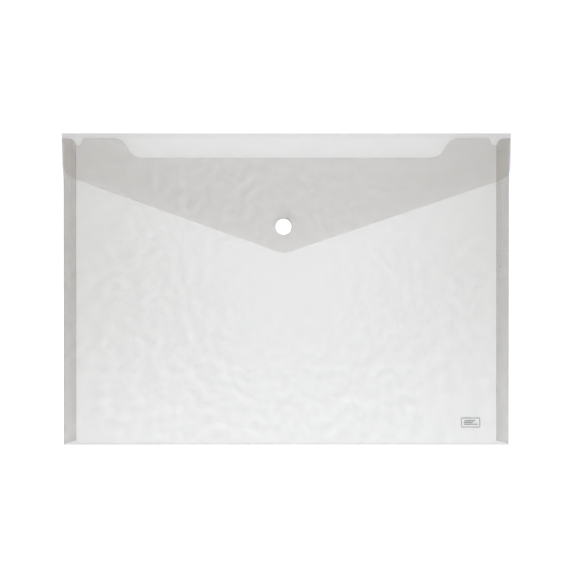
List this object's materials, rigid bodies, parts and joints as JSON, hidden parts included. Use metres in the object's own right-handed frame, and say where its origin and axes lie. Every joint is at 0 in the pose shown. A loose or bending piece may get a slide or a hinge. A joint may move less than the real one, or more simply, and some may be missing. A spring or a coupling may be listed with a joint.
{
  "type": "document wallet",
  "caption": "Landscape document wallet of translucent plastic sheet with pleated side gussets, a V-shaped fold-over flap and a round press stud.",
  "frame": {"origin": "on the surface the case lies on, under the middle of the closed case", "axes": "+X to the right seen from the front, +Y towards the fold of the flap, +Z out of the front"},
  "size_m": [0.336, 0.2334, 0.0094],
  "materials": {
    "clear_sheet": "frosted translucent",
    "snap_plastic": "smooth opaque white"
  },
  "bodies": {
    "back": {"back_panel": "clear_sheet", "bottom_fold": "clear_sheet", "top_fold": "clear_sheet", "left_rear_ply": "clear_sheet", "right_rear_ply": "clear_sheet", "left_weld_flange": "clear_sheet", "right_weld_flange": "clear_sheet", "left_gusset_fold": "clear_sheet", "right_gusset_fold": "clear_sheet"},
    "front": {"front_panel": "clear_sheet", "left_front_ply": "clear_sheet", "right_front_ply": "clear_sheet", "snap_stud": "snap_plastic", "snap_rivet": "snap_plastic"},
    "flap": {"flap": "clear_sheet", "snap_cap": "snap_plastic", "snap_socket": "snap_plastic"}
  },
  "joints": [
    {"name": "flap_fold", "type": "hinge", "parent": "back", "child": "flap", "pos_m": [0, 0.113, 0.00375], "axis": [-1, 0, 0], "range_deg": [0, 178], "deforming": ["top_fold"]},
    {"name": "pocket_open", "type": "hinge", "parent": "back", "child": "front", "pos_m": [0, -0.11575, 0.001], "axis": [1, 0, 0], "range_deg": [0, 1.75], "deforming": ["bottom_fold", "left_gusset_fold", "right_gusset_fold"]}
  ],
  "couplings": [
    {"joint": "pocket_open", "follows": "flap_fold", "ratio": 0.0098}
  ]
}
